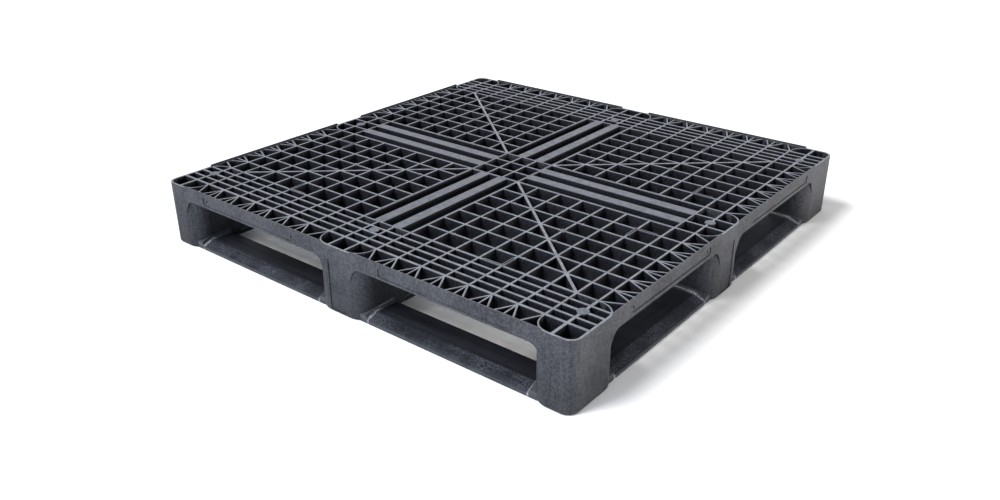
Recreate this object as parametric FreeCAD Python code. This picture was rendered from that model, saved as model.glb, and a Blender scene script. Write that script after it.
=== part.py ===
import FreeCAD, Part
import math
import os

# Square plastic pallet with a grid deck, nine blocks and a perimeter base.
# Millimetres, +Z up. The origin is on the floor under the middle of the pallet.
# Left is -X, right is +X, front is -Y and rear is +Y.

V = FreeCAD.Vector

# overall sizes
half = 570.0
deckTop = 150.0
rimTop = 154.0
deckUnder = 119.0
endUnder = 116.0
baseTop = 17.0

# deck grid, one quarter, measured from the middle
armHalf = 67.75
firstCellX = 54.95
cellX = 50.35
cellsX = 7
firstCellY = 60.35
wideCellsY = 3
cellY = 56.75
cellsY = 7
densePitch = 24.02
denseRibs = 4
plainRowY = 46.3

# rib widths
ribWidth = 4.6
borderWidth = 6.4
denseWidth = 4.8
heavyDenseWidth = 6.0
fanWidth = 3.6
diagonalWidth = 6.0
fanGap = 8.0
smallestCell = 20.0

# cross arms: two strips, hollow from below, and three slots
stripMiddle = 26.0
stripWidth = 25.0
stripSkin = 4.0
blockRibOffset = 22.6

# round bosses where the plastic was injected
blockBoss = 11.5
deckBoss = 7.5

# side walls
fasciaThick = 5.0
fasciaFillet = 25.0
filletTurn = math.radians(65)
rimThick = 2.0
rimOverlap = 25.0
rimRound = 3.0

# shallow panels in the side walls: distance from the middle block and from the corner block
panelDepth = 1.5
panelLow = 124.0
panelHigh = 142.0
panelRound = 6.0
plainSidePanel = (51.0, 38.0)
slottedSidePanel = (63.0, 42.0)
plainEndPanel = (38.0, 17.0)
slottedEndPanel = (20.0, 37.0)

# small slanted slots near the ends of half of the panels, their distance from those ends
slotWidth = 2.6
slotHeight = 7.5
slotDepth = 4.0
slotMiddle = 134.0
slotLean = 25.0
sideSlots = (4.0, 11.0)
endSlots = (11.0, 7.0)

# blocks
blockWall = 5.0
blockFloor = 6.0
palletCorner = 24.0
sideCorner = 40.0
innerCorner = 34.0
deckCorner = 1.0
footRound = 5.0
plateHalf = 24.0
plateLow = 5.0
plateRound = 8.0

# base runners
runnerWidth = 94.0
runnerRecess = 8.0
lipHeight = 7.0
slopeWidth = 26.0
innerChamfer = 6.0
weldFillet = 9.0
centreRunnerHalf = 66.0
runnerSkin = 4.5
pocketPitch = 58.0


def gridLines(start, steps):
    lines = [start]
    for step in steps:
        lines.append(lines[-1] + step)
    return lines


xLines = gridLines(armHalf, [firstCellX] + [cellX] * (cellsX - 1))
yLines = gridLines(armHalf, [firstCellY] * wideCellsY + [cellY] * (cellsY - wideCellsY))
gridEndX = xLines[-1]
gridEndY = yLines[-1]
denseLines = gridLines(gridEndX, [densePitch] * denseRibs)
fanX = denseLines[-1]
fanY = gridEndY + plainRowY
fasciaInner = half - fasciaThick


def denseRib(index):
    """Width of a rib in the dense band: every second one is heavier."""
    return heavyDenseWidth if index % 2 == 0 else denseWidth


def rectangle(x0, y0, x1, y1):
    return [(x0, y0), (x1, y0), (x1, y1), (x0, y1)]


def clip(points, a, b, offset):
    """The part of a convex outline that lies to the left of the line a-b by the offset or more."""
    length = math.hypot(b[0] - a[0], b[1] - a[1])
    nx = -(b[1] - a[1]) / length
    ny = (b[0] - a[0]) / length

    def distance(p):
        return (p[0] - a[0]) * nx + (p[1] - a[1]) * ny - offset

    kept = []
    for i, p in enumerate(points):
        q = points[(i + 1) % len(points)]
        dp = distance(p)
        dq = distance(q)
        if dp >= 0:
            kept.append(p)
        if dp * dq < 0:
            share = dp / (dp - dq)
            kept.append((p[0] + (q[0] - p[0]) * share, p[1] + (q[1] - p[1]) * share))
    return kept


def flatFace(points):
    corners = [V(x, y, 0) for x, y in points]
    return Part.Face(Part.makePolygon(corners + corners[:1]))


def disc(x, y, radius):
    return Part.Face(Part.Wire(Part.makeCircle(radius, V(x, y, 0))))


def grid(outline, cells, bosses=()):
    """A slab of deck: the outline less its cells, with round bosses left standing."""
    holes = []
    for cell in cells:
        hole = flatFace(cell)
        for x, y, radius in bosses:
            box = hole.BoundBox
            near = box.XMin - radius < x < box.XMax + radius and box.YMin - radius < y < box.YMax + radius
            if near:
                hole = hole.cut(disc(x, y, radius))
        holes.append(hole)
    face = flatFace(outline).cut(holes)
    slab = face.extrude(V(0, 0, deckTop - deckUnder))
    slab.translate(V(0, 0, deckUnder))
    return slab.Solids[0]


def quarterGrid():
    """One quarter of the deck, 7 by 7 cells, crossed by one diagonal rib."""
    halfRib = ribWidth / 2
    cells = []
    a = (xLines[0], yLines[0])
    b = (xLines[-1], yLines[-1])
    for i in range(cellsX):
        x0 = xLines[i] + (borderWidth / 2 if i == 0 else halfRib)
        x1 = xLines[i + 1] - halfRib
        for j in range(cellsY):
            y0 = yLines[j] + (borderWidth / 2 if j == 0 else halfRib)
            y1 = yLines[j + 1] - halfRib
            cell = rectangle(x0, y0, x1, y1)
            for piece in (clip(cell, a, b, diagonalWidth / 2), clip(cell, b, a, diagonalWidth / 2)):
                if len(piece) > 2 and flatFace(piece).Area > smallestCell:
                    cells.append(piece)
    bosses = [(xLines[3], yLines[4], deckBoss)]
    return grid(rectangle(xLines[0], yLines[0], xLines[-1], yLines[-1]), cells, bosses)


def armGrid(end):
    """One arm of the cross, along +X: two strips, hollow from below, between three slots."""
    slots = []
    inner = stripMiddle - stripWidth / 2
    outer = stripMiddle + stripWidth / 2
    border = armHalf - borderWidth / 2
    for low, high in ((-border, -outer), (-inner, inner), (outer, border)):
        slots.append(rectangle(armHalf + borderWidth / 2, low, end - ribWidth / 2, high))
    arm = grid(rectangle(armHalf, -armHalf, end, armHalf), slots)
    channels = []
    for side in (-1, 1):
        length = end - armHalf - borderWidth - ribWidth
        channel = Part.makeBox(length, stripWidth - 2 * stripSkin, deckTop - deckUnder)
        y0 = side * stripMiddle - stripWidth / 2 + stripSkin
        channel.translate(V(armHalf + borderWidth, y0, deckUnder - stripSkin))
        channels.append(channel)
    return arm.cut(channels)


def fanCells(start, end, low, high, openLow, openHigh):
    """Cells between the fan line and the side wall, for one bay, with two diagonal ribs."""
    halfRib = fanWidth / 2
    middle = (start + end) / 2
    bay = rectangle(low, start + (0 if openLow else halfRib), high, end - (0 if openHigh else halfRib))
    a = (low, start)
    b = (half, middle - fanGap / 2)
    c = (low, end)
    d = (half, middle + fanGap / 2)
    between = clip(clip(bay, a, b, halfRib), d, c, halfRib)
    return [clip(bay, b, a, halfRib), between, clip(bay, c, d, halfRib)]


def edgeGridAlongY():
    """The dense band and fan ribs over one fork opening of the right-hand side."""
    cells = []
    for j in range(cellsY):
        y0 = yLines[j] + ribWidth / 2
        y1 = yLines[j + 1] - ribWidth / 2
        for i in range(denseRibs):
            x0 = denseLines[i] + denseRib(i) / 2
            x1 = denseLines[i + 1] - denseRib(i + 1) / 2
            cells.append(rectangle(x0, y0, x1, y1))
        low = fanX + denseRib(denseRibs) / 2
        last = j == cellsY - 1
        cells += fanCells(yLines[j], yLines[j + 1], low, fasciaInner, j == 0, last)
    return grid(rectangle(gridEndX, armHalf, fasciaInner, gridEndY), cells)


def swapXY(points):
    return [(y, x) for x, y in reversed(points)]


def edgeGridAlongX():
    """The plain row and fan ribs over one fork opening of the rear side."""
    cells = []
    for i in range(cellsX):
        x0 = xLines[i] + ribWidth / 2
        x1 = xLines[i + 1] - ribWidth / 2
        cells.append(rectangle(x0, gridEndY + ribWidth / 2, x1, fanY - ribWidth / 2))
        low = fanY + ribWidth / 2
        last = i == cellsX - 1
        for cell in fanCells(xLines[i], xLines[i + 1], low, fasciaInner, i == 0, last):
            cells.append(swapXY(cell))
    return grid(rectangle(armHalf, gridEndY, gridEndX, fasciaInner), cells)


def roundedOutline(x0, y0, x1, y1, radii):
    """A rectangle with its own radius at each corner, from the low corner anticlockwise."""
    corners = rectangle(x0, y0, x1, y1)
    edges = []
    ends = []
    for i in range(4):
        p = V(corners[i][0], corners[i][1], 0)
        back = V(corners[i - 1][0], corners[i - 1][1], 0).sub(p).normalize()
        ahead = V(corners[(i + 1) % 4][0], corners[(i + 1) % 4][1], 0).sub(p).normalize()
        r = radii[i]
        first = p + back * r
        last = p + ahead * r
        middle = p + (back + ahead) * (r * (1 - math.sqrt(0.5)))
        ends.append((first, last))
        edges.append(Part.Arc(first, middle, last).toShape())
    sides = []
    for i in range(4):
        sides.append(Part.LineSegment(ends[i][1], ends[(i + 1) % 4][0]).toShape())
    ordered = []
    for i in range(4):
        ordered += [edges[i], sides[i]]
    return Part.Face(Part.Wire(ordered))


def prism(face, low, high):
    solid = face.extrude(V(0, 0, high - low))
    solid.translate(V(0, 0, low))
    return solid


def outerShape(box, radii):
    return roundedOutline(*box, radii)


def innerShape(box, radii):
    x0, y0, x1, y1 = box
    wall = blockWall
    return roundedOutline(x0 + wall, y0 + wall, x1 - wall, y1 - wall, [r - wall for r in radii])


def deckShapes(box, radii):
    """Outer and inner outline of a block in the deck, where its inner corners are square.

    Its inner sides are half a rib wide there, because the next piece of deck has the other half.
    """
    x0, y0, x1, y1 = box
    halfRib = ribWidth / 2
    wallX = blockWall if x1 == half else halfRib
    wallY = blockWall if y1 == half else halfRib
    outerRadii = [deckCorner if r == innerCorner else r for r in radii]
    innerRadii = [deckCorner if r == innerCorner else r - blockWall for r in radii]
    inside = roundedOutline(x0 + halfRib, y0 + halfRib, x1 - wallX, y1 - wallY, innerRadii)
    return roundedOutline(*box, outerRadii), inside


def block(box, radii, xRibs, yRibs, bosses=()):
    """A hollow block from the floor to the deck, open at the top and crossed by ribs to its foot.

    xRibs and yRibs are (place, width) of the ribs that cross it, in X and in Y. The bosses are
    only as deep as the deck.
    """
    x0, y0, x1, y1 = box
    foot = prism(outerShape(box, radii), 0, deckUnder)
    bottomEdges = [e for e in foot.Edges if e.BoundBox.ZMax < 0.01]
    deckOutside, deckInside = deckShapes(box, radii)
    body = foot.makeFillet(footRound, bottomEdges).fuse(prism(deckOutside, deckUnder, deckTop))
    inside = innerShape(box, radii)
    xs = [(x0, 0)] + xRibs + [(x1, 0)]
    ys = [(y0, 0)] + yRibs + [(y1, 0)]
    cells = []
    for i in range(len(xs) - 1):
        for j in range(len(ys) - 1):
            low = (xs[i][0] + xs[i][1] / 2, ys[j][0] + ys[j][1] / 2)
            high = (xs[i + 1][0] - xs[i + 1][1] / 2, ys[j + 1][0] - ys[j + 1][1] / 2)
            cell = flatFace(rectangle(low[0], low[1], high[0], high[1]))
            cells.append(prism(cell.common(inside), blockFloor, deckUnder))
            opening = cell.common(deckInside)
            for x, y, radius in bosses:
                opening = opening.cut(disc(x, y, radius))
            cells.append(prism(opening, deckUnder, deckTop + 1))
    return body.cut(cells).removeSplitter().Solids[0]


cornerBox = (gridEndX, gridEndY, half, half)
cornerRadii = [innerCorner, sideCorner, palletCorner, sideCorner]
sideBox = (gridEndX, -armHalf, half, armHalf)
sideRadii = [innerCorner, sideCorner, sideCorner, innerCorner]
rearBox = (-armHalf, gridEndY, armHalf, half)
rearRadii = [innerCorner, innerCorner, sideCorner, sideCorner]
centreBox = (-armHalf, -armHalf, armHalf, armHalf)


def denseRibList():
    return [(denseLines[i], denseRib(i)) for i in range(1, denseRibs + 1)]


def turned(shape):
    """A shape of the rear side, mirrored across the line X = Y to lie on the right-hand side."""
    return shape.mirror(V(0, 0, 0), V(1, -1, 0).normalize())


def recess(start, end, low, high, radius):
    """Tool for a shallow recess in the right-hand outer face, with its two lower corners rounded."""
    box = Part.makeBox(2 * panelDepth, end - start, high - low)
    box.translate(V(half - panelDepth, start, low))
    lowerCorners = [e for e in box.Edges if e.BoundBox.ZMax < low + 0.01 and e.BoundBox.YLength < 0.01]
    return box.makeFillet(radius, lowerCorners)


def slot(y, lean):
    """Tool for a small slanted slot in the right-hand outer face."""
    box = Part.makeBox(2 * slotDepth, slotWidth, slotHeight)
    box.translate(V(half - slotDepth, y - slotWidth / 2, slotMiddle - slotHeight / 2))
    box.rotate(V(half, y, slotMiddle), V(1, 0, 0), lean)
    return box


def cornerBlock():
    bosses = [(denseLines[2], fanY, blockBoss)]
    return block(cornerBox, cornerRadii, denseRibList(), [(fanY, heavyDenseWidth)], bosses)


def sideBlock():
    """The block in the middle of the right-hand side."""
    ribs = [(-blockRibOffset, ribWidth), (blockRibOffset, ribWidth)]
    bosses = [(denseLines[2] - densePitch / 2, 0, blockBoss)]
    body = block(sideBox, sideRadii, denseRibList(), ribs, bosses)
    return body.cut(recess(-plateHalf, plateHalf, plateLow, deckUnder, plateRound))


def rearBlock():
    """The block in the middle of the rear side."""
    ribs = [(-blockRibOffset, ribWidth), (blockRibOffset, ribWidth)]
    bosses = [(0, fanY, blockBoss)]
    body = block(rearBox, rearRadii, ribs, [(fanY, ribWidth)], bosses)
    return body.cut(turned(recess(-plateHalf, plateHalf, plateLow, endUnder, plateRound)))


def centreBlock():
    ribs = [(-blockRibOffset, ribWidth), (blockRibOffset, ribWidth)]
    return block(centreBox, [innerCorner] * 4, ribs, ribs)


def fasciaLeg(opening, away, under):
    """Where the lower edge of a side wall bends down at one end of its opening: four points."""
    r = fasciaFillet
    reach = r * math.sin(filletTurn)
    drop = r * (1 - math.cos(filletTurn))
    middle = (r * math.sin(filletTurn / 2), r * (1 - math.cos(filletTurn / 2)))
    taper = (sideCorner - reach) * math.tan(filletTurn)
    spots = [(0, 0), middle, (reach, drop), (sideCorner, drop + taper)]
    return [V(fasciaInner, opening + away * y, under - z) for y, z in spots]


def rim(low, high):
    """The thin raised lip on the outer edge of a side wall, with rounded ends."""
    lip = Part.makeBox(rimThick, high - low + 2 * rimOverlap, rimTop - deckTop + rimThick)
    lip.translate(V(half - rimThick, low - rimOverlap, deckTop - rimThick))
    ends = [e for e in lip.Edges if e.BoundBox.ZMin > rimTop - 0.01 and e.BoundBox.YLength < 0.01]
    return lip.makeFillet(rimRound, ends)


def fascia(low, high, cutters, under, panel, slots=(), lean=0):
    """The side wall over the opening from low to high along Y, with its raised rim.

    Its lower edge curves down into the blocks, which are cut out of it. The panel is a shallow
    recess in its outer face, and the slots are measured from the two ends of that.
    """
    lowLeg = fasciaLeg(low, -1, under)
    highLeg = fasciaLeg(high, 1, under)
    topLow = V(fasciaInner, low - sideCorner, deckTop)
    topHigh = V(fasciaInner, high + sideCorner, deckTop)
    edges = [
        Part.Arc(*lowLeg[:3]).toShape(),
        Part.LineSegment(lowLeg[2], lowLeg[3]).toShape(),
        Part.LineSegment(lowLeg[3], topLow).toShape(),
        Part.LineSegment(topLow, topHigh).toShape(),
        Part.LineSegment(topHigh, highLeg[3]).toShape(),
        Part.LineSegment(highLeg[3], highLeg[2]).toShape(),
        Part.Arc(*reversed(highLeg[:3])).toShape(),
        Part.LineSegment(highLeg[0], lowLeg[0]).toShape(),
    ]
    wall = Part.Face(Part.Wire(edges)).extrude(V(fasciaThick, 0, 0))
    wall = wall.fuse(rim(low, high)).removeSplitter()
    wall = wall.cut([prism(outline, 0, rimTop + 1) for outline in cutters])
    wall = sorted(wall.Solids, key=lambda s: s.Volume)[-1]
    start = low + panel[0]
    end = high - panel[1]
    tools = [recess(start, end, panelLow, panelHigh, panelRound)]
    if slots:
        tools += [slot(start + slots[0], lean), slot(end - slots[1], lean)]
    return wall.cut(tools).Solids[0]


def fasciaAlongY(panel, slots=()):
    cutters = [outerShape(sideBox, sideRadii), outerShape(cornerBox, cornerRadii)]
    return fascia(armHalf, gridEndY, cutters, deckUnder, panel, slots, slotLean)


def fasciaAlongX(panel, slots=()):
    cutters = [turned(outerShape(rearBox, rearRadii)), turned(outerShape(cornerBox, cornerRadii))]
    return turned(fascia(armHalf, gridEndX, cutters, endUnder, panel, slots, -slotLean))


def runnerProfile():
    """Section of a perimeter runner: thin outer lip, slope up to a flat top, chamfered inner edge."""
    outer = half - runnerRecess
    inner = half - runnerWidth
    return [
        (inner, 0),
        (outer, 0),
        (outer, lipHeight),
        (outer - slopeWidth, baseTop),
        (inner + innerChamfer, baseTop),
        (inner, baseTop - innerChamfer),
    ]


def weldBead(wallAt, away):
    """A hollow fillet on a perimeter runner, against a block wall at Y = wallAt.

    It follows the flat top and the slope, and fills the runner up round the block's curved corner.
    """
    inner = half - runnerWidth + innerChamfer
    outer = half - runnerRecess - slopeWidth
    r = weldFillet
    back = wallAt - away * sideCorner
    bend = r * (1 - math.sqrt(0.5))
    foot = V(inner, wallAt + away * r, baseTop)
    top = V(inner, wallAt, baseTop + r)
    arc = Part.Arc(foot, V(inner, wallAt + away * bend, baseTop + bend), top)
    corners = [top, V(inner, back, baseTop + r), V(inner, back, baseTop), foot]
    lines = [Part.LineSegment(corners[i], corners[i + 1]).toShape() for i in range(3)]
    section = Part.Face(Part.Wire([arc.toShape()] + lines))
    flat = section.extrude(V(outer - inner, 0, 0))
    section.translate(V(outer - inner, 0, 0))
    return flat.fuse(section.extrude(V(slopeWidth, 0, lipHeight - baseTop)))


def pockets(low, high, xLow, xHigh, ceiling):
    """Boxes between the cross ribs under a runner along Y, from low to high."""
    count = int((high - low) // pocketPitch)
    pitch = (high - low) / count
    boxes = []
    for i in range(count):
        pocket = Part.makeBox(xHigh - xLow, pitch - ribWidth, ceiling + 1)
        pocket.translate(V(xLow, low + i * pitch + ribWidth / 2, -1))
        boxes.append(pocket)
    return boxes


def runner(low, high, cutters):
    """A perimeter runner along Y between two blocks, fitted round their curved corners."""
    start = low - sideCorner
    length = high - low + 2 * sideCorner
    points = [V(x, start, z) for x, z in runnerProfile()]
    bar = Part.Face(Part.makePolygon(points + points[:1])).extrude(V(0, length, 0))
    bar = bar.fuse([weldBead(low, 1), weldBead(high, -1)]).removeSplitter()
    bar = bar.cut([prism(outline, -1, deckTop) for outline in cutters])
    bar = sorted(bar.Solids, key=lambda s: s.Volume)[-1]
    inner = half - runnerWidth + innerChamfer
    outer = half - runnerRecess - slopeWidth
    return bar.cut(pockets(low, high, inner, outer, baseTop - runnerSkin))


def runnerAlongY():
    cutters = [outerShape(sideBox, sideRadii), outerShape(cornerBox, cornerRadii)]
    return runner(armHalf, gridEndY, cutters)


def runnerAlongX():
    cutters = [turned(outerShape(rearBox, rearRadii)), turned(outerShape(cornerBox, cornerRadii))]
    return turned(runner(armHalf, gridEndX, cutters))


def centreRunner(end, endRadii, endBox):
    """A runner of the base cross, along +X, from the centre block to the block of that side."""
    h = centreRunnerHalf
    c = innerChamfer
    section = [(-h, 0), (h, 0), (h, baseTop - c), (h - c, baseTop), (c - h, baseTop), (-h, baseTop - c)]
    points = [V(armHalf - innerCorner, y, z) for y, z in section]
    bar = Part.Face(Part.makePolygon(points + points[:1]))
    bar = bar.extrude(V(end - armHalf + 2 * innerCorner, 0, 0))
    cutters = [outerShape(centreBox, [innerCorner] * 4), outerShape(endBox, endRadii)]
    bar = bar.cut([prism(outline, -1, deckTop) for outline in cutters])
    bar = sorted(bar.Solids, key=lambda s: s.Volume)[-1]
    holes = []
    for low, high in ((c - h, -ribWidth / 2), (ribWidth / 2, h - c)):
        holes += pockets(armHalf, end, low, high, baseTop - runnerSkin)
    return bar.cut([turned(hole) for hole in holes])


def flipped(shape, left, front):
    """A piece of the right-hand rear quarter, mirrored to its own side."""
    if left:
        shape = shape.mirror(V(0, 0, 0), V(1, 0, 0))
    if front:
        shape = shape.mirror(V(0, 0, 0), V(0, 1, 0))
    return shape


def quarterTurn(shape, quarters):
    result = shape.copy()
    result.rotate(V(0, 0, 0), V(0, 0, 1), 90 * quarters)
    return result


def allPieces():
    pieces = {}
    quarter = quarterGrid()
    corner = cornerBlock()
    edgeY = edgeGridAlongY()
    edgeX = edgeGridAlongX()
    plainY = fasciaAlongY(plainSidePanel)
    slottedY = fasciaAlongY(slottedSidePanel, sideSlots)
    plainX = fasciaAlongX(plainEndPanel)
    slottedX = fasciaAlongX(slottedEndPanel, endSlots)
    barY = runnerAlongY()
    barX = runnerAlongX()
    for left in (False, True):
        for front in (False, True):
            side = "left" if left else "right"
            end = "front" if front else "rear"
            pieces["deck_quarter_" + end + "_" + side] = flipped(quarter, left, front)
            pieces["corner_block_" + end + "_" + side] = flipped(corner, left, front)
            pieces["edge_grid_" + side + "_side_" + end] = flipped(edgeY, left, front)
            pieces["edge_grid_" + end + "_side_" + side] = flipped(edgeX, left, front)
            wallY = plainY if left == front else slottedY
            wallX = slottedX if left == front else plainX
            pieces["fascia_" + side + "_side_" + end] = flipped(wallY, left, front)
            pieces["fascia_" + end + "_side_" + side] = flipped(wallX, left, front)
            pieces["base_runner_" + side + "_side_" + end] = flipped(barY, left, front)
            pieces["base_runner_" + end + "_side_" + side] = flipped(barX, left, front)
    armX = armGrid(gridEndX)
    armY = quarterTurn(armGrid(gridEndY), 1)
    blockX = sideBlock()
    blockY = rearBlock()
    crossX = centreRunner(gridEndX, sideRadii, sideBox)
    farBox = (gridEndY, -armHalf, half, armHalf)
    crossY = quarterTurn(centreRunner(gridEndY, sideRadii, farBox), 1)
    for left in (False, True):
        side = "left" if left else "right"
        pieces["deck_arm_" + side] = flipped(armX, left, False)
        pieces["side_block_" + side] = flipped(blockX, left, False)
        pieces["centre_runner_" + side] = flipped(crossX, left, False)
    for front in (False, True):
        end = "front" if front else "rear"
        pieces["deck_arm_" + end] = flipped(armY, False, front)
        pieces["side_block_" + end] = flipped(blockY, False, front)
        pieces["centre_runner_" + end] = flipped(crossY, False, front)
    pieces["centre_block"] = centreBlock()
    return pieces


os.makedirs("parts", exist_ok=True)
for name, shape in allPieces().items():
    if not shape.isValid() or len(shape.Solids) != 1:
        raise RuntimeError(name + " is not one valid solid")
    shape.Solids[0].exportStep("parts/" + name + ".step")
    print(name, round(shape.Volume / 1000), "cm3")
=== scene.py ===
import math

import bpy
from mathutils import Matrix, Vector


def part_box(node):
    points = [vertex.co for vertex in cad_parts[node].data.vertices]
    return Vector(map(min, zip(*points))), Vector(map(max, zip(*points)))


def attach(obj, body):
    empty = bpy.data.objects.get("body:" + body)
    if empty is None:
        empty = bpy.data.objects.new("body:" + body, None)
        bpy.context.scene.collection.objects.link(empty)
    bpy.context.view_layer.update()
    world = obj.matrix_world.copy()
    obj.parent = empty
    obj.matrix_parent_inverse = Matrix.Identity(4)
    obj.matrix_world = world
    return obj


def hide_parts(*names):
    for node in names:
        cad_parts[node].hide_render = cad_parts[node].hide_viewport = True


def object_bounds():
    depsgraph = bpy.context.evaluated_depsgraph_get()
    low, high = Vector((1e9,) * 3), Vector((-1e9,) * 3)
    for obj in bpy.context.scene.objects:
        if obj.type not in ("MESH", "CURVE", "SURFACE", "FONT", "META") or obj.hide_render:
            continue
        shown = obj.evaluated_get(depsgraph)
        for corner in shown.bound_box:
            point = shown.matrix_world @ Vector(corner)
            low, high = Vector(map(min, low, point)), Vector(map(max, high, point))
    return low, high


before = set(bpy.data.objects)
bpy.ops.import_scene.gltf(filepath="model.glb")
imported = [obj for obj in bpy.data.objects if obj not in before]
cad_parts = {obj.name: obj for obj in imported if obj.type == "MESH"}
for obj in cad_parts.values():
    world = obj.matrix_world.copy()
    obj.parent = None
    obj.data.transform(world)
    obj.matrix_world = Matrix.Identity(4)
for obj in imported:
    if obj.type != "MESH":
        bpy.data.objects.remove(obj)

cadLow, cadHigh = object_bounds()
centre = (cadLow + cadHigh) / 2
half = (cadHigh.x - cadLow.x) / 2
deckLow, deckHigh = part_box("deck_quarter_rear_right")
deckTop = deckHigh.z
deckUnder = deckLow.z
armHalf = deckLow.x
cornerX = deckHigh.x         # where the corner blocks begin
cornerY = deckHigh.y
print("frame loaded:", len(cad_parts), "members,", round(half * 2, 3), "m square")


# ---- small helpers ----

def selectOnly(thing):
    bpy.ops.object.select_all(action="DESELECT")
    thing.select_set(True)
    bpy.context.view_layer.objects.active = thing


def addModifier(piece, kind, settings):
    # adds a modifier and applies it at once
    selectOnly(piece)
    modifier = piece.modifiers.new(kind.lower(), kind)
    for name, value in settings.items():
        setattr(modifier, name, value)
    bpy.ops.object.modifier_apply(modifier=modifier.name)


# one output of a shader node, with the sums that are used on it
class Wire:
    def __init__(self, tree, socket):
        self.tree = tree
        self.socket = socket

    # any other node: its settings first, then the values or links of its sockets
    def make(self, kind, settings, inputs, output=0):
        node = self.tree.nodes.new(kind)
        for name, value in settings.items():
            setattr(node, name, value)
        for name, value in inputs.items():
            if isinstance(value, Wire):
                self.tree.links.new(value.socket, node.inputs[name])
            else:
                node.inputs[name].default_value = value
        return Wire(self.tree, node.outputs[output])

    def sum(self, operation, a, b):
        return self.make("ShaderNodeMath", {"operation": operation}, {0: a, 1: b})

    def __add__(self, other):
        return self.sum("ADD", self, other)

    def __radd__(self, other):
        return self.sum("ADD", other, self)

    def __sub__(self, other):
        return self.sum("SUBTRACT", self, other)

    def __mul__(self, other):
        return self.sum("MULTIPLY", self, other)

    def __rmul__(self, other):
        return self.sum("MULTIPLY", other, self)

    def most(self, other):
        return self.sum("MAXIMUM", self, other)

    def size(self):
        return self.make("ShaderNodeMath", {"operation": "ABSOLUTE"}, {0: self})

    def fade(self, start, end):
        # 0 below start and 1 above end, or the other way round if end is lower
        settings = {"interpolation_type": "SMOOTHSTEP", "clamp": True}
        return self.make("ShaderNodeMapRange", settings,
                         {0: self, 1: start, 2: end, 3: 0.0, 4: 1.0})

    def above(self, least):
        # squeezes 0 to 1 into least to 1
        return least + (1 - least) * self

    def tint(self, low, high):
        # colour low where this is 0 and colour high where it is 1
        return self.make("ShaderNodeMix", {"data_type": "RGBA"}, {0: self, 6: low, 7: high}, 2)


def newFinish(name):
    # an empty material, its shader, and wires for the place and the facing of the surface
    finish = bpy.data.materials.new(name)
    finish.use_nodes = True
    tree = finish.node_tree
    here = tree.nodes.new("ShaderNodeTexCoord")
    shader = tree.nodes["Principled BSDF"]
    return finish, shader, Wire(tree, here.outputs["Object"]), Wire(tree, here.outputs["Normal"])


def axes(vector):
    # the three parts of a place or a facing
    return [vector.make("ShaderNodeSeparateXYZ", {}, {"Vector": vector}, part) for part in range(3)]


noiseRough = 0.6      # how strong the small lumps are against the large ones


def noiseOn(place, scale, detail, stretch=(1, 1, 1)):
    # cloudy noise, scale in lumps per metre, stretch under 1 draws it out along that axis
    place = place.make("ShaderNodeMapping", {}, {"Vector": place, "Scale": stretch})
    inputs = {"Vector": place, "Scale": scale, "Detail": detail, "Roughness": noiseRough}
    return place.make("ShaderNodeTexNoise", {}, inputs)


def colour(value):
    return (*value, 1.0)


# ---- finishes ----

mouldedLook = {
    "grain": (520.0, 3.0),       # spark-eroded grain: lumps per metre, levels of detail
    "blotch": (210.0, 4.0),
    "cloud": (11.0, 3.0),
    "wave": (26.0, 1.0),         # slow unevenness of a big moulded face
    "grainDepth": 0.00012,
    "waveDepth": 0.0006,
    "grainRange": (0.38, 0.62),      # noise values that stand for dark and for light
    "blotchRange": (0.36, 0.64),
    "cloudRange": (0.35, 0.65),
    "grainShare": 0.3,
    "blotchShare": 0.42,
    "cloudShare": 0.28,
}


def mouldedBody(place):
    # what all the finishes share: grain and slow waves in the surface, blotches in the colour
    look = mouldedLook
    grain = noiseOn(place, *look["grain"])
    blotch = noiseOn(place, *look["blotch"])
    cloud = noiseOn(place, *look["cloud"])
    wave = noiseOn(place, *look["wave"])
    shade = blotch.fade(*look["blotchRange"]) * look["blotchShare"]
    shade = shade + cloud.fade(*look["cloudRange"]) * look["cloudShare"]
    shade = shade + grain.fade(*look["grainRange"]) * look["grainShare"]
    bumps = grain * look["grainDepth"] + wave * look["waveDepth"]
    return grain, shade, bumps


def finishShader(shader, look, tint, roughness, bumps):
    tree = tint.tree
    inputs = {"Height": bumps, "Distance": 1.0, "Strength": look["bump"]}
    bump = bumps.make("ShaderNodeBump", {}, inputs)
    tree.links.new(tint.socket, shader.inputs["Base Color"])
    tree.links.new(roughness.socket, shader.inputs["Roughness"])
    tree.links.new(bump.socket, shader.inputs["Normal"])
    shader.inputs["IOR"].default_value = look["ior"]


upRange = (0.2, 0.9)      # how far a face has to look up to be worn and take painted top light

deckLook = {
    "deep": (0.004, 0.0045, 0.006),      # painted shade on the cell walls, away from the top
    "deepLight": (0.031, 0.032, 0.042),
    "dark": (0.066, 0.070, 0.086),
    "light": (0.120, 0.126, 0.148),
    # pale rib tops: rubbed wear with painted top light
    "scuffed": (0.235, 0.245, 0.27),
    "rimDepth": 0.0018,       # how far down the cell walls the paler top reaches above the painted shade
    "rimEnd": 0.0002,         # and how far down it is at its full strength
    "rub": (60.0, 5.0),       # rubbed patches: lumps per metre, levels of detail
    "rubRange": (0.32, 0.68),
    "leastRub": 0.45,         # wear between the rubbed patches
    "grainRough": 0.15,       # grain makes the surface rougher, wear makes it smoother
    "wornSmooth": 0.12,
    "ior": 1.34,
    "bump": 0.7,
    "rough": 0.5,
}


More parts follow.
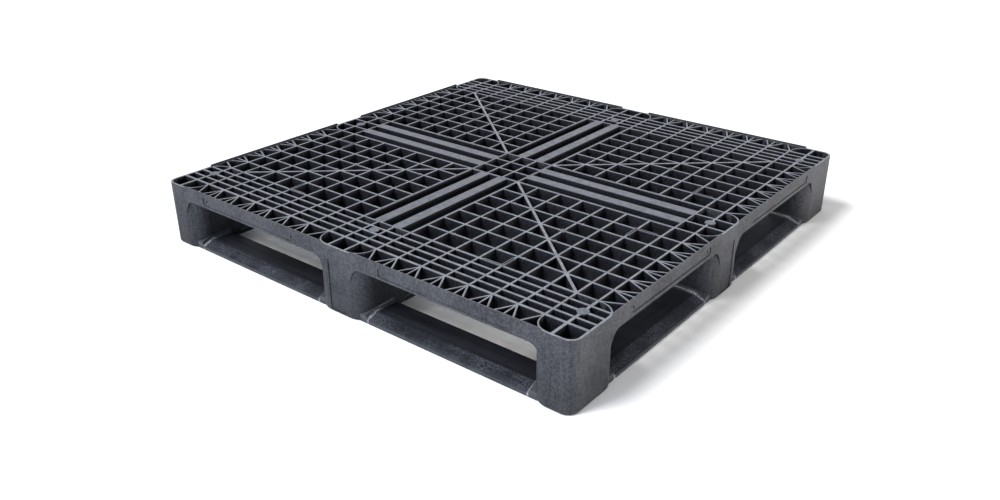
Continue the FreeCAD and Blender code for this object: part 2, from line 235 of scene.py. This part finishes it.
def deckPlastic(name, wear):
    # satin ribs: tops rubbed pale by the goods that slide over them and lit with painted top light,
    # cell walls darkened with painted shade
    finish, shader, place, facing = newFinish(name)
    grain, shade, bumps = mouldedBody(place)
    height = axes(place)[2]
    up = axes(facing)[2]
    rub = noiseOn(place, *deckLook["rub"]).fade(*deckLook["rubRange"])
    top = height.fade(deckTop - deckLook["rimDepth"], deckTop - deckLook["rimEnd"])
    # pale tops: rubbed wear with painted top light
    worn = top * up.fade(*upRange) * rub.above(deckLook["leastRub"]) * wear
    # painted shade: the cell walls darken away from the top
    wall = shade.tint(colour(deckLook["deep"]), colour(deckLook["deepLight"]))
    skin = shade.tint(colour(deckLook["dark"]), colour(deckLook["light"]))
    tint = worn.tint(top.tint(wall, skin), colour(deckLook["scuffed"]))
    roughness = deckLook["rough"] + deckLook["grainRough"] * grain - deckLook["wornSmooth"] * worn
    finishShader(shader, deckLook, tint, roughness, bumps)
    return finish


sideLook = {
    "dark": (0.006, 0.0065, 0.009),
    "light": (0.084, 0.088, 0.102),
    # pale rim tops: rubbed wear with painted top light
    "scuffed": (0.14, 0.145, 0.158),
    "drag": (260.0, 2.0, (1, 1, 0.06)),      # upright drag marks: lumps, detail, stretch
    "dragRange": (0.4, 0.6),
    "dragShare": 0.12,
    "foot": 0.62,             # painted shade: how dark the foot is against the top
    "footTop": 0.13,          # height at which that shade ends
    "rimBlend": 0.001,        # the pale rim, rubbed and lit with painted top light, fades in this far around the deck's height
    "rimWear": 0.7,
    "grainRough": 0.16,
    "ior": 1.42,
    "bump": 0.9,
    "rough": 0.46,
}


def sidePlastic():
    # finely grained outer walls, with faint upright drag marks, pale rubbed rims with painted top
    # light, and a foot darkened with painted shade
    finish, shader, place, facing = newFinish("side plastic")
    grain, shade, bumps = mouldedBody(place)
    height = axes(place)[2]
    up = axes(facing)[2]
    drag = noiseOn(place, *sideLook["drag"]).fade(*sideLook["dragRange"])
    shade = shade * (1 - sideLook["dragShare"]) + drag * sideLook["dragShare"]
    # painted shade: darker towards the foot
    shade = shade * height.fade(0, sideLook["footTop"]).above(sideLook["foot"])
    blend = sideLook["rimBlend"]
    # pale rim tops: rubbed wear with painted top light
    worn = height.fade(deckTop - blend, deckTop + blend) * up.fade(*upRange) * sideLook["rimWear"]
    skin = shade.tint(colour(sideLook["dark"]), colour(sideLook["light"]))
    tint = worn.tint(skin, colour(sideLook["scuffed"]))
    roughness = sideLook["rough"] + sideLook["grainRough"] * grain
    finishShader(shader, sideLook, tint, roughness, bumps)
    return finish


baseLook = {
    "dark": (0.007, 0.0075, 0.010),
    "light": (0.025, 0.027, 0.036),
    "scuffed": (0.115, 0.125, 0.155),
    # painted highlight along the outer lip
    "lip": (0.045, 0.049, 0.060),
    # weld fillets: their own tone, lightened in part as a painted sheen
    "weld": (0.058, 0.061, 0.068),
    "flash": (0.40, 0.42, 0.46),         # painted glints: pale streaks on the outer end of a weld
    "flow": (70.0, 4.0),      # flow marks: lumps per metre, levels of detail
    "flowStretch": 0.05,      # they are drawn out along the runner
    "flowRange": (0.36, 0.64),
    "flowShare": 0.55,
    "patch": (16.0, 5.0),     # where scuffs gather
    "patchRange": (0.4, 0.62),
    "leastPatch": 0.25,
    "scratch": (380.0, 3.0),
    "scratchRange": (0.42, 0.62),
    "flatScuff": 0.05,        # scuffs on the flat top, and how much stronger on the slope
    "slopeScuff": 0.6,
    "slopeTop": 0.5355,       # where the flat top turns into the outer slope, from the middle
    "slopeBlend": (-0.0004, 0.0008),
    "slopeFoot": 0.562,
    "lipWidth": 0.0022,
    "lipEnd": 0.0004,
    "lipRange": (0.35, 0.6),
    "leastLip": 0.35,
    "weldWidth": 0.0095,      # reach of the weld fillets from the blocks
    "weldCore": 0.8,          # distance of full strength, as a share of the reach
    "weldFoot": (0.0075, 0.0095),      # heights between which the welds begin
    "streakMiddle": 0.45,     # middle and half width of the streaks, as shares of the reach
    "streakHalf": 0.4,
    "streakSpan": (0.5, 0.552),        # they grow towards the outer end
    "streakScratch": (0.4, 0.58),
    "streakPatch": (0.4, 0.6),
    "leastStreak": 0.35,
    "ior": 1.42,
    "bump": 0.8,
    "rough": 0.42,
    "flowRough": 0.16,
    "weldRough": 0.2,
}


def basePlastic(name, alongX):
    # runners: dark flats with flow marks along them, scuffed slopes, painted highlights on the
    # lips, glossy welds with painted sheen and painted glints
    look = baseLook
    finish, shader, place = newFinish(name)[:3]
    shade, bumps = mouldedBody(place)[1:]
    stretch = (look["flowStretch"], 1, 1) if alongX else (1, look["flowStretch"], 1)
    flow = noiseOn(place, *look["flow"], stretch)
    patch = noiseOn(place, *look["patch"])
    scratch = noiseOn(place, *look["scratch"])
    x, y, height = axes(place)
    along = (x if alongX else y).size()
    across = (y if alongX else x).size()
    blendStart, blendEnd = look["slopeBlend"]
    slope = across.fade(look["slopeTop"] + blendStart, look["slopeTop"] + blendEnd)
    scuff = patch.fade(*look["patchRange"]).above(look["leastPatch"])
    scuff = scuff * scratch.fade(*look["scratchRange"])
    scuff = scuff * (look["flatScuff"] + look["slopeScuff"] * slope)
    # painted highlight along the lip's outer edge, broken up by patches
    lip = across.fade(look["slopeFoot"] - look["lipWidth"], look["slopeFoot"] - look["lipEnd"])
    lip = lip * patch.fade(*look["lipRange"]).above(look["leastLip"])
    blockEdge = cornerX if alongX else cornerY
    reach = look["weldWidth"]
    core = reach * look["weldCore"]
    armWeld = along.fade(armHalf + reach, armHalf + core)
    cornerWeld = along.fade(blockEdge - reach, blockEdge - core)
    weld = armWeld.most(cornerWeld) * height.fade(*look["weldFoot"])
    shade = shade * (1 - look["flowShare"]) + flow.fade(*look["flowRange"]) * look["flowShare"]
    tint = shade.tint(colour(look["dark"]), colour(look["light"]))
    tint = scuff.tint(tint, colour(look["scuffed"]))
    tint = lip.tint(tint, colour(look["lip"]))
    # weld fillets: own tone plus painted sheen
    tint = weld.tint(tint, colour(look["weld"]))
    # painted glint: pale streaks along the welds, growing towards the outer end
    middle = reach * look["streakMiddle"]
    width = reach * look["streakHalf"]
    armStreak = (along - (armHalf + middle)).size().fade(width, 0)
    cornerStreak = (along - (blockEdge - middle)).size().fade(width, 0)
    streak = armStreak.most(cornerStreak) * across.fade(*look["streakSpan"])
    streak = streak * scratch.fade(*look["streakScratch"])
    streak = streak * patch.fade(*look["streakPatch"]).above(look["leastStreak"])
    tint = streak.tint(tint, colour(look["flash"]))
    smoother = look["rough"] - look["weldRough"]
    roughness = look["rough"] + look["flowRough"] * flow - weld * smoother
    finishShader(shader, look, tint, roughness, bumps)
    return finish


deckFinish = deckPlastic("deck plastic", 1.0)
stripFinish = deckPlastic("deck strip plastic", 0.5)
sideFinish = sidePlastic()
baseAlongX = basePlastic("base plastic along x", True)
baseAlongY = basePlastic("base plastic along y", False)
print("finishes made")


# ---- moulded members ----

edgeLook = {
    "merge": 0.00001,
    "flat": 0.8,           # degrees: flatter joints between triangles are dissolved
    "sharp": 40.0,         # degrees: sharper edges are rounded
    "deck": 0.0006,
    "side": 0.0007,
    "base": 0.0009,
    "steps": 2,
}


def roundedCopy(node, finish, radius):
    # a copy of a member with its triangles joined up again and its sharp edges rounded
    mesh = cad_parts[node].data.copy()
    piece = bpy.data.objects.new(node + "_moulded", mesh)
    bpy.context.collection.objects.link(piece)
    selectOnly(piece)
    bpy.ops.mesh.customdata_custom_splitnormals_clear()
    bpy.ops.object.mode_set(mode="EDIT")
    bpy.ops.mesh.select_all(action="SELECT")
    bpy.ops.mesh.remove_doubles(threshold=edgeLook["merge"])
    bpy.ops.mesh.dissolve_limited(angle_limit=math.radians(edgeLook["flat"]))
    bpy.ops.object.mode_set(mode="OBJECT")
    sharp = math.radians(edgeLook["sharp"])
    addModifier(piece, "BEVEL", {
        "width": radius, "segments": edgeLook["steps"], "limit_method": "ANGLE",
        "angle_limit": sharp, "use_clamp_overlap": True,
    })
    selectOnly(piece)
    bpy.ops.object.shade_smooth_by_angle(angle=sharp)
    addModifier(piece, "WEIGHTED_NORMAL", {"keep_sharp": True})
    mesh.materials.clear()
    mesh.materials.append(finish)
    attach(piece, "root")
    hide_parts(node)
    return piece


wallLook = {
    "thick": 0.005,
    "floor": 0.006,
    "corners": (0.024, 0.034, 0.040),      # radii of the block corners, in plan
    "slack": 0.0012,
    "skin": 0.001,            # faces this near to a wall or floor still count as it
    "topSkin": 0.0004,
    "topFacing": 0.3,         # how far a rib top's faces look up at least
    "slotDepth": 0.0018,      # deeper than the panels in the fascias, so only their slots
    "slotZone": 0.006,        # the slots keep this far from the fascia's upper and lower edges
}


def onOuterWall(low, high, spot):
    # whether a spot is on the outside of a block with this box, its rounded corners included
    slack = wallLook["slack"]
    fromX = min(spot.x - low.x, high.x - spot.x)
    fromY = min(spot.y - low.y, high.y - spot.y)
    if min(fromX, fromY) < wallLook["thick"] - slack:
        return True
    for radius in wallLook["corners"]:
        fromCurve = abs(math.hypot(radius - fromX, radius - fromY) - radius)
        if max(fromX, fromY) < radius and fromCurve < slack:
            return True
    return False


def darkenInside(piece, node):
    # rib tops and the walls of the cells take the deck's finish, whose painted shade darkens them
    # below the top, as do the fascias' slots and inner faces; outer walls keep the grained one
    low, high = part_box(node)
    piece.data.materials.append(deckFinish)
    for face in piece.data.polygons:
        spot = face.center
        onTop = spot.z > deckTop - wallLook["topSkin"] and face.normal.z > wallLook["topFacing"]
        if node.startswith("fascia"):
            depth = half - max(abs(spot.x), abs(spot.y))
            zone = wallLook["slotZone"]
            # painted shade: the fascias' slots and inner faces take the deck's dark wall finish
            inSlot = depth > wallLook["slotDepth"] and deckUnder + zone < spot.z < deckTop - zone
            behind = depth > wallLook["thick"] - wallLook["skin"] and spot.z > deckUnder
            inner = inSlot or behind
        else:
            overFloor = spot.z > wallLook["floor"] - wallLook["skin"]
            inner = onTop or overFloor and not onOuterWall(low, high, spot)
        face.material_index = 1 if inner else 0


def finishOf(node):
    # material, finish group name and edge rounding of a member, from its name and the way it runs
    if node.startswith("deck_arm"):
        return stripFinish, "deck_plastic", edgeLook["deck"]
    if node.startswith(("deck", "edge")):
        return deckFinish, "deck_plastic", edgeLook["deck"]
    if "runner" in node:
        low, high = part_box(node)
        alongX = high.x - low.x > high.y - low.y
        return (baseAlongX if alongX else baseAlongY), "base_plastic", edgeLook["base"]
    return sideFinish, "side_plastic", edgeLook["side"]


for node in sorted(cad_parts):
    finish, slotName, radius = finishOf(node)
    piece = roundedCopy(node, finish, radius)
    if slotName == "side_plastic":
        darkenInside(piece, node)
print("members rounded and finished")


# ---- small marks on the rib tops, shared parts ----

sides = (("left", -1), ("right", 1))
ends = (("front", -1), ("rear", 1))
markEdge = {"width": 0.0002, "segments": 2, "limit_method": "ANGLE"}
markSmooth = math.radians(30)


def selectTop(piece):
    # into edit mode with only the faces that look up selected
    bpy.ops.object.mode_set(mode="EDIT")
    bpy.ops.mesh.select_mode(type="FACE")
    bpy.ops.mesh.select_all(action="DESELECT")
    bpy.ops.object.mode_set(mode="OBJECT")
    for face in piece.data.polygons:
        face.select = face.normal.z > 0.9
    bpy.ops.object.mode_set(mode="EDIT")


def finishMark(mark, finish):
    # fine rounded edges, smooth shading and the first material
    addModifier(mark, "BEVEL", markEdge)
    selectOnly(mark)
    bpy.ops.object.shade_smooth_by_angle(angle=markSmooth)
    mark.data.materials.append(finish)


def placeCopy(model, name, x, y, turn=0):
    # a copy of a mark with its own mesh, turned and moved to its spot
    mark = model.copy()
    mark.data = model.data.copy()
    mark.name = name
    bpy.context.collection.objects.link(mark)
    selectOnly(mark)
    mark.location = (x, y, 0)
    mark.rotation_euler = (0, 0, turn)
    bpy.ops.object.transform_apply(location=True, rotation=True, scale=True)
    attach(mark, "root")


# ---- gate marks, where the plastic was injected ----

gateLook = {
    "blockRadius": 0.0112,
    "deckRadius": 0.0073,
    "sides": 40,
    "height": 0.0008,
    "ring": 0.22,             # width of the raised ring, as a share of the radius
    "dish": 0.0006,           # how deep the middle lies under the ring
    "dishWall": 0.06,         # width of the wall down into the dish, as a share of the radius
    "flatEnd": 0.66,          # the dish is flat from here to the stub
    "stub": 0.2,              # radius of the broken-off gate, as a share of the radius
    "stubWall": 0.04,
    "stubHeight": 1.2,        # as a share of the dish's depth
}


def gateMark(radius):
    # a low disc in the middle of the deck: raised ring, dished middle, and the stub of the gate
    bpy.ops.object.select_all(action="DESELECT")
    height = gateLook["height"]
    bpy.ops.mesh.primitive_cylinder_add(vertices=gateLook["sides"], radius=radius, depth=height,
                                        location=(0, 0, deckTop + height / 2))
    mark = bpy.context.object
    selectTop(mark)
    bpy.ops.mesh.inset(thickness=radius * gateLook["ring"], depth=0)
    bpy.ops.mesh.inset(thickness=radius * gateLook["dishWall"], depth=-gateLook["dish"])
    bpy.ops.mesh.inset(thickness=radius * (gateLook["flatEnd"] - gateLook["stub"]), depth=0)
    bpy.ops.mesh.inset(thickness=radius * gateLook["stubWall"],
                       depth=gateLook["dish"] * gateLook["stubHeight"])
    bpy.ops.object.mode_set(mode="OBJECT")
    bpy.ops.object.transform_apply(location=True, rotation=True, scale=True)
    finishMark(mark, stripFinish)
    return mark


markPlaces = {
    "cornerX": 0.4729,
    "fanY": 0.5221,
    "sideX": 0.4609,
    "quarterX": 0.2234,
    "quarterY": 0.30555,
}
blockMark = gateMark(gateLook["blockRadius"])
deckMark = gateMark(gateLook["deckRadius"])
for side, across in sides:
    placeCopy(blockMark, "gate_mark_" + side, across * markPlaces["sideX"], 0)
    for end, ahead in ends:
        name = end + "_" + side
        x, y = across * markPlaces["cornerX"], ahead * markPlaces["fanY"]
        placeCopy(blockMark, "gate_mark_" + name, x, y)
        x, y = across * markPlaces["quarterX"], ahead * markPlaces["quarterY"]
        placeCopy(deckMark, "deck_gate_mark_" + name, x, y)
for end, ahead in ends:
    placeCopy(blockMark, "gate_mark_" + end, 0, ahead * markPlaces["fanY"])
bpy.data.objects.remove(blockMark)
bpy.data.objects.remove(deckMark)
print("gate marks made")


# ---- steps in the rib tops, two to an L, like the joints of mould inserts ----

stepLook = {
    "length": 0.042,
    "width": 0.0068,
    "wall": 0.0014,           # edges left and right of the slot
    "height": 0.0010,         # how far the edges stand over the ribs
    "floor": 0.0003,
    "slope": 0.0002,          # lean of the slot's walls
    "slotHalf": 0.0025,       # faces this near to the middle line, and this far under the
    "slotUnder": 0.0003,      # edges, belong to the slot
    "gap": 0.0001,            # between the two steps of an L
    "skirt": 0.004,           # how far it reaches down the rib
    "cornerX": 0.4248,        # ribs of the L beside each corner block
    "cornerY": 0.30555,
    "armX": 0.1227,           # ribs of the L beside each strip
    "armY": 0.41905,
}


def ribStep():
    # a thickened rib top with a slot painted dark as shade, along X in the middle of the deck
    low = deckTop - stepLook["skirt"]
    high = deckTop + stepLook["height"]
    bpy.ops.object.select_all(action="DESELECT")
    bpy.ops.mesh.primitive_cube_add(size=1, location=(0, 0, (low + high) / 2))
    step = bpy.context.object
    step.scale = (stepLook["length"], stepLook["width"], high - low)
    bpy.ops.object.transform_apply(location=True, rotation=True, scale=True)
    selectTop(step)
    bpy.ops.mesh.inset(thickness=stepLook["wall"], depth=0)
    bpy.ops.mesh.inset(thickness=stepLook["slope"], depth=stepLook["floor"] - stepLook["height"])
    bpy.ops.object.mode_set(mode="OBJECT")
    finishMark(step, deckFinish)
    # painted shade: the slot takes the runners' dark finish
    step.data.materials.append(baseAlongX)
    for face in step.data.polygons:
        sunk = deckTop < face.center.z < high - stepLook["slotUnder"]
        inSlot = sunk and abs(face.center.y) < stepLook["slotHalf"]
        face.material_index = 1 if inSlot else 0
    return step


step = ribStep()
# from the bend of an L: to the middle of the step that holds it, and of the one beside it
holding = stepLook["length"] / 2 - stepLook["width"] / 2
beside = stepLook["length"] / 2 + stepLook["width"] / 2 + stepLook["gap"]
quarterTurn = math.radians(90)
for side, across in sides:
    for end, ahead in ends:
        name = end + "_" + side
        x, y = stepLook["cornerX"], stepLook["cornerY"]
        placeCopy(step, "corner_step_x_" + name, across * (x - holding), ahead * y)
        placeCopy(step, "corner_step_y_" + name, across * x, ahead * (y - beside), quarterTurn)
        x, y = stepLook["armX"], stepLook["armY"]
        placeCopy(step, "arm_step_x_" + name, across * (x + holding), ahead * y)
        placeCopy(step, "arm_step_y_" + name, across * x, ahead * (y + beside), quarterTurn)
bpy.data.objects.remove(step)
print("rib steps made")


# ---- pads on the ribs, like the marks of ejector pins ----

padLook = {
    "radius": 0.0039,
    "sides": 24,
    "height": 0.0005,         # how far a pad stands over the ribs
    "skirt": 0.008,           # how far it reaches down the rib
    "ring": 0.0009,
    "dish": 0.0003,           # depth of the dish, and the width of its wall
    "placesX": (0.17305, 0.27375, 0.37445),      # on every second rib, just past a crossing
    "placesY": (0.141, 0.261, 0.320),
}


def ribPad():
    # a short round boss with a shallow dish, in the middle of the deck
    low = deckTop - padLook["skirt"]
    high = deckTop + padLook["height"]
    bpy.ops.object.select_all(action="DESELECT")
    bpy.ops.mesh.primitive_cylinder_add(vertices=padLook["sides"], radius=padLook["radius"],
                                        depth=high - low, location=(0, 0, (low + high) / 2))
    pad = bpy.context.object
    bpy.ops.object.transform_apply(location=True, rotation=True, scale=True)
    selectTop(pad)
    bpy.ops.mesh.inset(thickness=padLook["ring"], depth=0)
    bpy.ops.mesh.inset(thickness=padLook["dish"], depth=-padLook["dish"])
    bpy.ops.object.mode_set(mode="OBJECT")
    finishMark(pad, deckFinish)
    return pad


pad = ribPad()
for side, across in sides:
    for end, ahead in ends:
        for column, x in enumerate(padLook["placesX"]):
            for row, y in enumerate(padLook["placesY"]):
                spot = str(column + 1) + str(row + 1)
                name = "rib_pad_" + end + "_" + side + "_" + spot
                placeCopy(pad, name, across * x, ahead * y)
bpy.data.objects.remove(pad)
print("rib pads made")


# ---- floor, light and camera ----

floorLook = {
    "size": 80.0,
    "drop": 0.0003,
    "tint": (0.84, 0.84, 0.845),
    "rough": 0.9,
    "shine": 0.0,
}
floorHeight = cadLow.z - floorLook["drop"]
bpy.ops.object.select_all(action="DESELECT")
bpy.ops.mesh.primitive_plane_add(size=floorLook["size"], location=(0, 0, floorHeight))
floor = bpy.context.object
floor.name = "floor"
paper = bpy.data.materials.new("floor paper")
paper.use_nodes = True
paperShader = paper.node_tree.nodes["Principled BSDF"]
paperShader.inputs["Base Color"].default_value = colour(floorLook["tint"])
paperShader.inputs["Roughness"].default_value = floorLook["rough"]
paperShader.inputs["Specular IOR Level"].default_value = floorLook["shine"]
floor.data.materials.append(paper)

skyLook = {"tint": (0.95, 0.975, 1.0), "strength": 0.34}
world = bpy.data.worlds.new("studio")
bpy.context.scene.world = world
world.use_nodes = True
sky = world.node_tree.nodes["Background"]
sky.inputs["Color"].default_value = colour(skyLook["tint"])
sky.inputs["Strength"].default_value = skyLook["strength"]

keyLook = {"from": (-0.64, 0.42, 1.0), "strength": 3.2, "spread": 24.0, "height": 3.0}
bpy.ops.object.light_add(type="SUN", location=centre + Vector((0, 0, keyLook["height"])))
key = bpy.context.object
key.name = "key"
key.data.energy = keyLook["strength"]
key.data.angle = math.radians(keyLook["spread"])
key.rotation_euler = (-Vector(keyLook["from"])).to_track_quat("-Z", "Y").to_euler()

lampLook = {
    # name: place from the middle of the pallet, width, depth, watts, tint
    "left": ((-3.4, -0.3, 0.75), 2.4, 0.9, 50.0, (0.74, 0.84, 1.0)),
    "right": ((0.9, -3.4, 0.75), 2.4, 0.9, 78.0, (1.0, 0.95, 0.88)),
    "back": ((2.8, 2.4, 1.3), 4.0, 1.2, 14.0, (1.0, 1.0, 1.0)),
}
for name, (place, width, depth, watts, tint) in lampLook.items():
    bpy.ops.object.light_add(type="AREA", location=centre + Vector(place))
    lamp = bpy.context.object
    lamp.name = name
    lamp.data.shape = "RECTANGLE"
    lamp.data.size = width
    lamp.data.size_y = depth
    lamp.data.energy = watts
    lamp.data.color = tint
    lamp.rotation_euler = (-Vector(place)).to_track_quat("-Z", "Y").to_euler()

cameraLook = {
    "turn": 51.43,         # degrees from +Y towards +X, along the view
    "tilt": 26.06,         # degrees down
    "distance": 1.9503,    # to the point it looks at
    "aimX": -0.4522,       # that point, in half widths from the middle
    "aimY": -0.2940,
    "lens": 32.85,
    "film": 36.0,
}
turn = math.radians(cameraLook["turn"])
tilt = math.radians(cameraLook["tilt"])
flat = math.cos(tilt)
forward = Vector((math.sin(turn) * flat, math.cos(turn) * flat, -math.sin(tilt)))
aim = centre + Vector((cameraLook["aimX"] * half, cameraLook["aimY"] * half, 0))
bpy.ops.object.camera_add(location=aim - forward * cameraLook["distance"])
camera = bpy.context.object
camera.name = "camera"
camera.rotation_euler = forward.to_track_quat("-Z", "Y").to_euler()
camera.data.sensor_width = cameraLook["film"]
camera.data.lens = cameraLook["lens"]
bpy.context.scene.camera = camera
bpy.context.scene.view_settings.view_transform = "Standard"
bpy.context.scene.view_settings.look = "Medium High Contrast"
print("stage, lamps and camera set")
